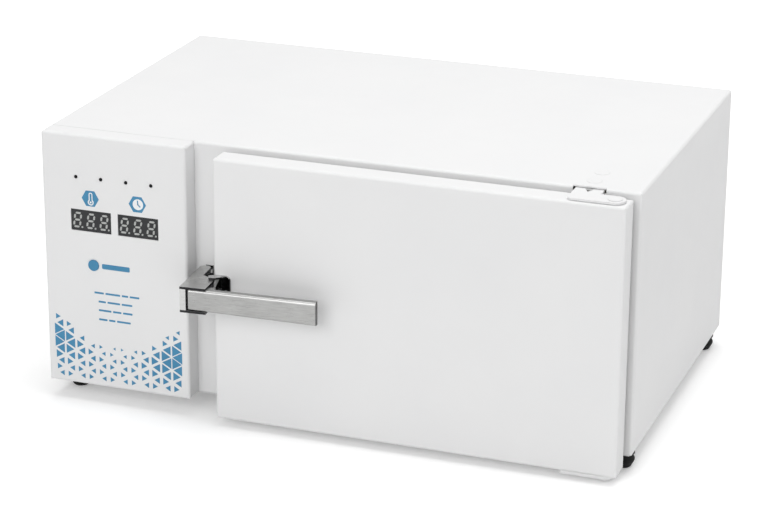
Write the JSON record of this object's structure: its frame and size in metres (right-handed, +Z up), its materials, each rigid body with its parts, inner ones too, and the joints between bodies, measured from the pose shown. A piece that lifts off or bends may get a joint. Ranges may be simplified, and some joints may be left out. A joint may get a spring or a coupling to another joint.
{
  "type": "dry heat sterilizer",
  "caption": "Benchtop dry heat sterilizer: white steel cabinet with a control panel box, a hinged insulated door, a stainless lever latch, and a heated chamber with trays behind it.",
  "frame": {"origin": "middle of the footprint's bounding box, at the height of the bench under the feet", "axes": "+X to the right seen from the front, +Y to the rear, +Z up"},
  "size_m": [0.526, 0.3822, 0.2468],
  "materials": {
    "white_paint": "semi-gloss, fine texture",
    "stainless": "brushed",
    "zinc_plated": "bright zinc",
    "dark_stainless": "polished",
    "rubber": "matt",
    "blue_ink": "printed ink",
    "display_window": "smoked",
    "display_segment": "diffuse",
    "led_epoxy": "gloss",
    "button_blue": "gloss",
    "circuit_board": "solder mask",
    "black_plastic": "moulded",
    "relay_blue": "moulded",
    "transformer_steel": "varnished laminations",
    "heater_sheath": "oxidised",
    "insulation": "mineral wool",
    "silicone": "moulded silicone",
    "ceramic": "steatite",
    "bronze": "sintered",
    "tray_steel": "pressed"
  },
  "bodies": {
    "case": {"outer_case": "white_paint", "base_plate": "white_paint", "rear_panel": "white_paint", "case_screws": "zinc_plated", "front_left_foot": "rubber", "front_right_foot": "rubber", "rear_left_foot": "rubber", "rear_right_foot": "rubber", "foot_screws": "zinc_plated", "foot_nuts": "zinc_plated", "control_panel": "white_paint", "panel_print": "blue_ink", "temperature_display": "display_window", "temperature_digits": "display_segment", "time_display": "display_window", "time_digits": "display_segment", "indicator_leds": "led_epoxy", "display_board": "circuit_board", "board_standoffs": "zinc_plated", "button_switch": "black_plastic", "bay_partition": "zinc_plated", "power_board": "circuit_board", "heater_relay": "relay_blue", "mains_transformer": "transformer_steel", "chamber_liner": "stainless", "chamber_insulation": "insulation", "lower_heater": "heater_sheath", "upper_heater": "heater_sheath", "heater_clips": "zinc_plated", "left_rail": "stainless", "right_rail": "stainless", "lower_tray": "tray_steel", "upper_tray": "tray_steel", "temperature_probe": "stainless", "overheat_thermostat": "ceramic", "door_gasket": "silicone", "upper_hinge_arm": "white_paint", "lower_hinge_arm": "white_paint", "upper_hinge_pin": "white_paint", "lower_hinge_pin": "white_paint", "hinge_rivets": "white_paint", "latch_keeper": "dark_stainless", "keeper_pin": "stainless", "mains_inlet": "black_plastic", "inlet_pins": "zinc_plated", "power_switch": "black_plastic"},
    "door": {"door_shell": "white_paint", "door_inner_panel": "stainless", "door_insulation": "insulation", "upper_bush": "bronze", "lower_bush": "bronze", "latch_base": "dark_stainless", "latch_rivets": "zinc_plated"},
    "handle": {"latch_hook": "stainless", "latch_pin": "stainless", "handle_bar": "stainless"},
    "program_button": {"program_button": "button_blue"},
    "power_rocker": {"power_rocker": "black_plastic"}
  },
  "joints": [
    {"name": "door_hinge", "type": "hinge", "parent": "case", "child": "door", "pos_m": [0.245, -0.14779, 0.1252], "axis": [0, 0, 1], "range_deg": [0, 170]},
    {"name": "latch_pivot", "type": "hinge", "parent": "door", "child": "handle", "pos_m": [-0.106, -0.17329, 0.1262], "axis": [0, 0, -1], "range_deg": [0, 14]},
    {"name": "program_button_press", "type": "slide", "parent": "case", "child": "program_button", "axis": [0, 1, 0], "range_m": [0, 0.0005], "stiffness_N_per_m": 500},
    {"name": "power_rocker_tilt", "type": "hinge", "parent": "case", "child": "power_rocker", "pos_m": [-0.211, 0.18521, 0.1087], "axis": [1, 0, 0], "range_deg": [0, 16]}
  ]
}
